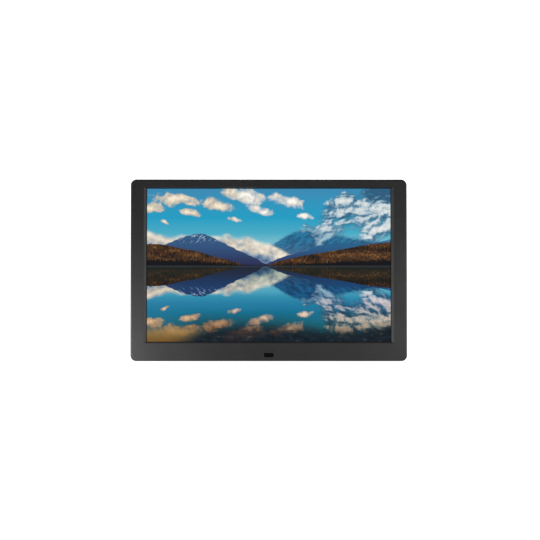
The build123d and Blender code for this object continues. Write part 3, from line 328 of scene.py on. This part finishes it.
# Each line gives heights above the water for places across the picture, both as shares of its size.
LEFT_RIDGE = [(0.0, 0.09), (0.08, 0.14), (0.16, 0.19), (0.22, 0.205), (0.29, 0.165), (0.36, 0.11),
              (0.44, 0.05), (0.51, 0.0), (1.0, 0.0)]
FAR_PEAK = [(0.0, 0.0), (0.38, 0.0), (0.45, 0.06), (0.53, 0.15), (0.60, 0.215), (0.66, 0.245),
            (0.74, 0.21), (0.83, 0.185), (0.92, 0.16), (1.0, 0.14)]
RIGHT_RIDGE = [(0.0, 0.0), (0.46, 0.0), (0.55, 0.05), (0.63, 0.085), (0.72, 0.13), (0.80, 0.15),
               (0.88, 0.14), (1.0, 0.17)]
LEFT_WOOD = [(0.0, 0.14), (0.07, 0.135), (0.14, 0.11), (0.21, 0.09), (0.28, 0.055), (0.35, 0.028),
             (0.41, 0.0), (1.0, 0.0)]
RIGHT_WOOD = [(0.0, 0.0), (0.48, 0.0), (0.56, 0.035), (0.65, 0.065), (0.74, 0.09), (0.82, 0.11),
              (0.90, 0.135), (1.0, 0.15)]
FIRS = [(0.0, 0.038), (0.15, 0.030), (0.30, 0.016), (0.40, 0.004), (0.55, 0.004), (0.70, 0.016),
        (0.85, 0.028), (1.0, 0.036)]
BANK_TOP = [(0.0, 0.225), (0.09, 0.20), (0.20, 0.18), (0.30, 0.195), (0.40, 0.185), (0.50, 0.14),
            (0.58, 0.08), (1.0, 0.0)]

# Broken cloud on the right, for heights from the shore, 0, to the top, 1: where it starts across the
# picture, and how thick it is.
BROKEN_START = [(0.0, 0.55), (0.5, 0.64), (0.8, 0.74), (1.0, 0.82)]
BROKEN_COVER = [(0.0, 0.3), (0.3, 0.5), (0.5, 0.9), (0.7, 1.15), (0.85, 1.1), (1.0, 0.8)]

# Across the picture: how far the lake bed shows from the near edge, and how much the shallows darken.
BED_REACH = [(0.0, 0.0), (0.15, 0.15), (0.30, 0.55), (0.55, 0.60), (0.80, 0.45), (1.0, 0.70)]
SHALLOWS = [(0.0, 0.1), (0.12, 0.2), (0.25, 0.8), (0.45, 0.8), (0.62, 0.45), (0.75, 0.1), (1.0, 0.1)]

# Scattered clouds, larger the higher they are, as (across, up, half length, half thickness, turn in degrees).
CLOUDS = [((0.10 + 0.382 * i) % 1.0 * 0.74, 0.285 + 0.0185 * i, 0.040 + 0.015 * i, 0.012 + 0.0045 * i,
           -16 + 6 * (i % 3)) for i in range(10)]

# Tones: the sky from the shore up, and the others from dark to light.
SKY_TONES = [(0.10, tone(198, 218, 222)), (0.28, tone(122, 190, 206)), (0.42, tone(72, 170, 196)),
             (0.62, tone(32, 156, 194)), (0.80, tone(46, 148, 188)), (1.0, tone(60, 136, 178))]
CLOUD_TONES = [(0.0, tone(128, 158, 172)), (0.30, tone(184, 184, 176)), (0.55, tone(214, 200, 176)),
               (0.95, tone(246, 234, 212))]
BROKEN_TONES = [(0.0, tone(46, 92, 124)), (0.24, tone(104, 146, 170)), (0.42, tone(188, 204, 212)),
                (0.8, tone(240, 238, 230))]
BANK_TONES = [(0.0, tone(74, 104, 140)), (0.3, tone(142, 162, 180)), (0.6, tone(206, 198, 184)),
              (0.9, tone(240, 230, 212))]
WOOD_TONES = [(0.50, tone(8, 7, 10)), (0.63, tone(36, 26, 18)), (0.78, tone(92, 60, 32)),
              (0.94, tone(172, 122, 70))]
STONE_TONES = [(0.40, tone(4, 11, 20)), (0.54, tone(12, 26, 38)), (0.64, tone(44, 50, 52)),
               (0.72, tone(128, 130, 122))]
PEAK_FOOT, PEAK_DARK, PEAK_LIGHT = tone(34, 72, 118), tone(12, 72, 114), tone(34, 112, 156)
PEAK_CLOUD = tone(158, 192, 206)
SNOW, FIR = tone(170, 192, 212), tone(11, 10, 15)
HAZE, MIST = tone(112, 124, 100), tone(92, 108, 134)
SAND_FAR, SAND_NEAR = tone(150, 122, 66), tone(124, 88, 22)

# What the water keeps of the mirrored view, from the far shore, 0, to the near edge, 1.
WATER_TINT = [
    (0.0, (0.30, 0.50, 0.46, 1)), (0.20, (0.66, 0.80, 0.88, 1)), (0.34, (0.98, 0.98, 1.0, 1)),
    (0.50, (0.84, 0.72, 0.78, 1)), (0.72, (0.86, 0.68, 0.54, 1)), (0.90, (0.50, 0.33, 0.20, 1)),
    (1.0, (0.34, 0.24, 0.14, 1)),
]
WHITER = (1.04, 1.16, 1.36, 1)  # turns cream cloud white
SHALLOW_TINT = (0.52, 0.42, 0.40, 1)


class View:
    """The view over the water: across from 0 to 1, and up above the shore, in picture heights."""

    def __init__(self, n, across, up):
        self.n, self.across, self.up = n, across, up
        self.height = n.times(up, 1 / (1 - SHORE))  # from 0 at the shore to 1 at the top of the picture
        self.where = n.point(n.times(across, LONG), up)
        self.jag = n.swing(n.noise(self.where, 26.0, 6.0, 0.6), 0.04)
        # swirls in the air bend every cloud's outline
        self.swirl = n.add("TexNoise")
        n.put(self.swirl.inputs["Vector"], self.where)
        self.swirl.inputs["Scale"].default_value = 8.0
        self.swirl.inputs["Detail"].default_value = 5.0
        drift = n.vector("SUBTRACT", self.swirl.outputs["Color"], (0.5, 0.5, 0.5))
        self.bent = n.vector("ADD", self.where, n.vector("MULTIPLY", drift, (0.12, 0.060, 0.0)))
        self.billow, self.relief = self.lit(self.bent, (-0.010, 0.018, 0.0), 14.0, 7.0, 0.58)
        streaked = n.vector("MULTIPLY", n.place(self.bent, (0.8, 0.1, 0), radians(14)), (4.2, 7.5, 1.0))
        self.streak, self.streak_relief = self.lit(streaked, (-0.042, 0.12, 0.0), 1.0, 8.0, 0.62)

    def lit(self, place, towards_light, *grain):
        """A noise, and how much more of it there is here than a step towards the light."""
        value = self.n.noise(place, *grain)
        return value, self.n.less(value, self.n.noise(self.n.vector("ADD", place, towards_light), *grain))

    def lay_under(self, line, low, high, colour, layer, strength=1.0):
        """Lays a layer over the view under a line, with an edge that fades in from low to high under it."""
        return self.n.mix(self.n.span(self.n.less(line, self.up), low, high, 0.0, strength), colour, layer)

    def scattered_clouds(self, colour):
        """Separate clouds, cream where thick and blue-grey where thin, whiter away from the left."""
        n = self.n
        field = None
        for cloud_x, cloud_y, length, thick, turn in CLOUDS:
            inside = n.place(self.bent, (cloud_x * LONG, cloud_y, 0), radians(turn), (length, thick, 1))
            nearness = n.less(1.0, n.vector("LENGTH", inside))
            field = nearness if field is None else n.math("MAXIMUM", field, nearness)
        ragged = n.total(field, n.swing(self.billow, 1.5))
        cloud = n.ramp(n.total(ragged, n.times(self.relief, 1.7)), CLOUD_TONES)
        cloud = n.mix(n.span(self.across, 0.30, 0.42), cloud, n.mix(1.0, cloud, WHITER, "MULTIPLY"))
        return n.mix(n.span(ragged, -0.02, 0.34), colour, cloud)

    def broken_cloud(self, colour):
        """Streaked, broken cloud that covers the upper right and darkens in its corner."""
        n = self.n
        inward = n.less(self.across, n.curve(self.height, BROKEN_START))
        cover = n.times(n.span(inward, -0.07, 0.09), n.curve(self.height, BROKEN_COVER))
        thickness = n.total(cover, n.swing(self.streak, 3.4))
        corner = n.times(n.span(self.up, 0.38, 0.46), n.span(self.across, 0.84, 0.94, 0.0, 0.60))
        body = n.less(n.total(n.swing(thickness, 0.6), n.times(self.streak_relief, 2.8)), corner)
        return n.mix(n.span(thickness, 0.46, 0.96), colour, n.ramp(body, BROKEN_TONES))

    def far_peak(self, colour):
        """A veiled blue mountain, folded low down and streaked with cloud higher up."""
        n = self.n
        folds = n.noise(n.place(self.where, rotation=radians(32), scale=(1, 0.3, 1)), 13.0, 6.0, 0.7)
        rock = n.mix(n.span(folds, 0.42, 0.58), PEAK_DARK, PEAK_LIGHT)
        cloudy = n.total(self.streak, n.times(n.less(self.up, 0.19), 1.8))
        peak = n.mix(n.span(cloudy, 0.51, 0.66), rock, PEAK_CLOUD)
        peak = n.mix(n.span(self.up, 0.03, 0.14), PEAK_FOOT, peak)
        top = n.total(n.curve(self.across, FAR_PEAK), self.jag)
        return self.lay_under(top, -0.012, 0.02, colour, peak, 0.92)

    def cloud_bank(self, colour):
        """A low bank of billowing cloud behind the near ridges."""
        n = self.n
        top = n.total(n.curve(self.across, BANK_TOP), n.swing(self.swirl.outputs[0], 0.10))
        _, puff_relief = self.lit(self.bent, (-0.008, 0.030, 0.0), 9.0, 3.0, 0.5)
        body = n.total(n.span(n.less(top, self.up), 0.0, 0.12, 0.74, 0.34), n.times(puff_relief, 2.0),
                       n.swing(self.billow, 1.1))
        return self.lay_under(top, -0.010, 0.030, colour, n.ramp(body, BANK_TONES))

    def ridges(self, colour):
        """Two dark blue ridges, with snow on their heights."""
        n = self.n
        patches = n.noise(n.place(self.where, rotation=radians(35), scale=(1, 0.4, 1)), 24.0, 6.0, 0.7)
        snow = n.span(patches, 0.52, 0.62)
        for line, roughness, high, low, snow_from in (
            (LEFT_RIDGE, 0.7, tone(48, 84, 126), tone(42, 48, 88), 0.13),
            (RIGHT_RIDGE, 0.6, tone(38, 96, 138), tone(42, 56, 102), 0.14),
        ):
            rock = n.mix(n.span(self.up, 0.0, 0.15), low, high)
            snowy = n.times(snow, n.span(self.up, snow_from, snow_from + 0.05, 0.0, 0.8))
            top = n.total(n.curve(self.across, line), n.times(self.jag, roughness))
            colour = self.lay_under(top, -0.001, 0.004, colour, n.mix(snowy, rock, SNOW))
        return colour

    def woods(self, colour):
        """Autumn woods with spiky tree tops, and dark firs along the water."""
        n = self.n
        spikes = n.swing(n.noise(n.vector("MULTIPLY", self.where, (120.0, 9.0, 1)), 1.0, 4.0, 0.8), 0.085)
        crowns = n.noise(n.vector("MULTIPLY", self.where, (95.0, 48.0, 1)), 1.0, 5.0, 0.75)
        patches = n.noise(n.vector("MULTIPLY", self.where, (7.0, 24.0, 1)), 1.0, 4.0, 0.6)
        wood = n.ramp(n.total(n.times(crowns, 0.85), n.times(patches, 0.55)), WOOD_TONES)
        for line in (LEFT_WOOD, RIGHT_WOOD):
            top = n.total(n.curve(self.across, line), n.times(spikes, 0.3))
            colour = self.lay_under(top, 0.0, 0.004, colour, wood)
        return self.lay_under(n.total(n.curve(self.across, FIRS), spikes), -0.003, 0.006, colour, FIR)


def landscape(n, across, up):
    """Colour of the view at a place above the water, far layers first."""
    view = View(n, across, up)
    colour = n.ramp(view.height, SKY_TONES)
    for layer in (view.scattered_clouds, view.broken_cloud, view.far_peak, view.cloud_bank, view.ridges,
                  view.woods):
        colour = layer(colour)
    return colour


def lake(n, spot, across, depth, view):
    """Colour of the water at a depth below the shore: the mirrored view, tinted, and the bed close by."""
    deeper = n.add("Gamma")
    n.put(deeper.inputs["Color"], view)
    deeper.inputs["Gamma"].default_value = 1.3
    colour = n.mix(1.0, deeper.outputs[0], n.ramp(n.times(depth, 1 / SHORE), WATER_TINT), "MULTIPLY")
    shallow = n.times(n.span(depth, 0.27, 0.40), n.curve(across, SHALLOWS))
    colour = n.mix(shallow, colour, n.mix(1.0, colour, SHALLOW_TINT, "MULTIPLY"))
    # stones, seen near the lower edge
    stones = n.noise(n.vector("MULTIPLY", spot, (30.0, 46.0, 1.0)), 1.0, 6.0, 0.72)
    reach = n.total(n.times(n.curve(across, BED_REACH), 0.16), n.swing(stones, 0.16))
    bed_seen = n.less(reach, n.less(SHORE, depth))
    colour = n.mix(n.span(bed_seen, -0.035, 0.045, 0.0, 0.92), colour, n.ramp(stones, STONE_TONES))
    # a sandy shallow in the lower left corner
    sand = n.mix(n.span(depth, 0.42, 0.50), SAND_FAR, SAND_NEAR)
    sand_seen = n.times(n.span(depth, 0.38, 0.46), n.span(n.total(across, depth), 0.70, 0.56, 0.0, 0.85))
    colour = n.mix(sand_seen, colour, sand)
    # haze over the far water, and a line of mist at the far shore
    colour = n.mix(n.span(depth, 0.02, 0.16, 0.055, 0.0), colour, HAZE)
    mist = n.times(n.span(depth, 0.002, 0.008), n.span(depth, 0.018, 0.008), 0.14)
    return n.mix(mist, colour, MIST)


def picture_material():
    """The panel's lit film: the view above the shore and, below it, the same view in still water."""
    material, n, shader = new_material("screen")
    spot = n.add("UVMap", uv_map="picture").outputs[0]
    across, height, _ = n.split(spot)
    above = n.less(height, SHORE)
    depth = n.times(above, -1.0)
    in_water = n.span(depth, 0.0, 0.003)
    # ripples push the mirrored view about, more towards the near edge
    ripple = n.noise(n.vector("MULTIPLY", spot, (14.0, 90.0, 1.0)), 1.0, 3.0, 0.6)
    push = n.times(n.swing(ripple, in_water), n.span(depth, 0.0, 0.5, 0.004, 0.028))
    far = n.total(n.math("ABSOLUTE", above), push)
    side = n.total(across, n.times(push, 0.35))
    view = landscape(n, side, far)
    colour = n.mix(in_water, view, lake(n, spot, across, depth, view))
    # black border round the lit area
    for value in (across, height):
        from_middle = n.math("ABSOLUTE", n.less(value, 0.5))
        colour = n.mix(n.span(from_middle, 0.5 - BORDER, 0.5 + BORDER), colour, (0.0, 0.0, 0.0, 1.0))
    n.put(shader.inputs["Emission Color"], colour)
    shader.inputs["Emission Strength"].default_value = 1.0
    shader.inputs["Base Color"].default_value = (0.004, 0.004, 0.005, 1.0)
    matt = n.noise(n.add("TexCoord").outputs["Object"], 3000.0, 2.0)
    n.put(shader.inputs["Roughness"], n.span(matt, 0.3, 0.7, 0.36, 0.44))
    shader.inputs["Specular IOR Level"].default_value = 0.12
    return material


def slab(name, low, high, material, edge=0.0):
    """A thin rounded slab given by opposite corners in the screen's own axes."""
    mesh = bmesh.new()
    bmesh.ops.create_cube(mesh, size=1.0)
    size = [b - a for a, b in zip(low, high)]
    for vertex in mesh.verts:
        vertex.co = Vector([a + (c + 0.5) * s for a, c, s in zip(low, vertex.co, size)])
    if edge:
        bmesh.ops.bevel(mesh, geom=mesh.edges[:], offset=edge, segments=2, affect="EDGES", profile=0.6)
    data = bpy.data.meshes.new(name)
    mesh.to_mesh(data)
    mesh.free()
    data.materials.append(material)
    piece = bpy.data.objects.new(name, data)
    bpy.context.scene.collection.objects.link(piece)
    return piece


def display_picture():
    """The panel's front film, lit, in the place of the plain CAD slab."""
    left, right = reach("lcd_polariser", RIGHT)
    low, high = (value - LOW_EDGE for value in reach("lcd_polariser", UP))
    back, front = (value - FACE for value in reach("lcd_polariser", OUT))
    film = slab("display_picture", (left, low, back), (right, high, front), picture_material(), edge=0.00005)
    middle = (low + high) / 2
    chart = film.data.uv_layers.new(name="picture")
    for loop in film.data.loops:
        spot = film.data.vertices[loop.vertex_index].co
        chart.data[loop.index].uv = (0.5 + spot.x / LIT_W, 0.5 + (spot.y - middle) / LIT_H)
    for vertex in film.data.vertices:
        vertex.co = at(*vertex.co)
    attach(film, "frame")
    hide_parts("lcd_polariser")


display_picture()


# ---- studio ----
def camera():
    """A long lens that looks at the screen from a little below its normal."""
    distance = 1.6
    seen_width = WIDTH * 1.9530  # across the whole image, at the bezel
    off_x, off_y = 0.00108, 0.00006  # the middle of the view, from the middle of the bezel
    below = radians(2.0)
    centre = at(off_x, HEIGHT / 2 + off_y, 0)
    direction = (Matrix.Rotation(below, 3, "X") @ OUT).normalized()
    data = bpy.data.cameras.new("camera")
    data.sensor_width = 36.0
    data.lens = data.sensor_width * distance / seen_width
    data.clip_end = 60.0
    eye = bpy.data.objects.new("camera", data)
    eye.location = centre + direction * distance
    eye.rotation_euler = direction.to_track_quat("Z", "Y").to_euler()
    bpy.context.scene.collection.objects.link(eye)
    bpy.context.scene.camera = eye


def floor():
    """A plain floor, white to the camera, with a faint glow that lifts what stands on it."""
    glow, glow_to_camera = 0.10, 1.0
    mesh = bmesh.new()
    bmesh.ops.create_grid(mesh, x_segments=8, y_segments=8, size=20.0)
    data = bpy.data.meshes.new("floor")
    mesh.to_mesh(data)
    mesh.free()
    ground = bpy.data.objects.new("floor", data)
    bpy.context.scene.collection.objects.link(ground)
    material, n, shader = new_material("floor")
    shader.inputs["Base Color"].default_value = (0.5, 0.5, 0.5, 1)
    shader.inputs["Roughness"].default_value = 0.9
    shader.inputs["Emission Color"].default_value = (1, 1, 1, 1)
    seen = n.add("LightPath").outputs["Is Camera Ray"]
    n.put(shader.inputs["Emission Strength"], n.span(seen, 0, 1, glow, glow_to_camera))
    data.materials.append(material)


def softbox(name, place, aim, width, height, power, spread=180):
    """A rectangular soft light that faces a point, with its beam's angle in degrees."""
    data = bpy.data.lights.new(name, "AREA")
    data.shape = "RECTANGLE"
    data.size = width
    data.size_y = height
    data.energy = power
    data.spread = radians(spread)
    lamp = bpy.data.objects.new(name, data)
    lamp.location = place
    lamp.rotation_euler = (place - aim).to_track_quat("Z", "Y").to_euler()
    lamp.visible_camera = False
    bpy.context.scene.collection.objects.link(lamp)


def surroundings():
    """A soft room: bright to the left and right, dark overhead, and white where the camera sees it."""
    all_round, from_sides, overhead_loss = 0.66, 1.6, 0.88
    world = bpy.data.worlds.new("studio")
    bpy.context.scene.world = world
    world.use_nodes = True
    n = Nodes(world.node_tree)
    across, _, high = n.split(n.add("TexCoord").outputs["Generated"])
    sideways = n.span(n.math("ABSOLUTE", across), 0.35, 0.95)
    overhead = n.span(high, 0.10, 0.60)
    level = n.times(n.total(all_round, n.times(sideways, from_sides)),
                    n.less(1.0, n.times(overhead, overhead_loss)))
    seen = n.add("LightPath").outputs["Is Camera Ray"]
    backdrop = world.node_tree.nodes["Background"]
    n.put(backdrop.inputs["Strength"], n.math("MAXIMUM", level, seen))
    backdrop.inputs["Color"].default_value = (1, 1, 1, 1)


camera()
floor()
surroundings()
softbox("low_left", at(-0.24, 0.0, 0.14), at(-0.14, -0.01, 0), width=0.09, height=0.07, power=0.147, spread=90)
softbox("low_right", at(0.26, 0.03, 0.16), at(0.135, 0.03, 0), width=0.09, height=0.09, power=0.082, spread=90)
softbox("behind", Vector((0.25, 0.95, 0.16)), Vector((0, 0, 0.08)), width=0.5, height=0.24, power=3.0)
bpy.context.scene.view_settings.view_transform = "Standard"
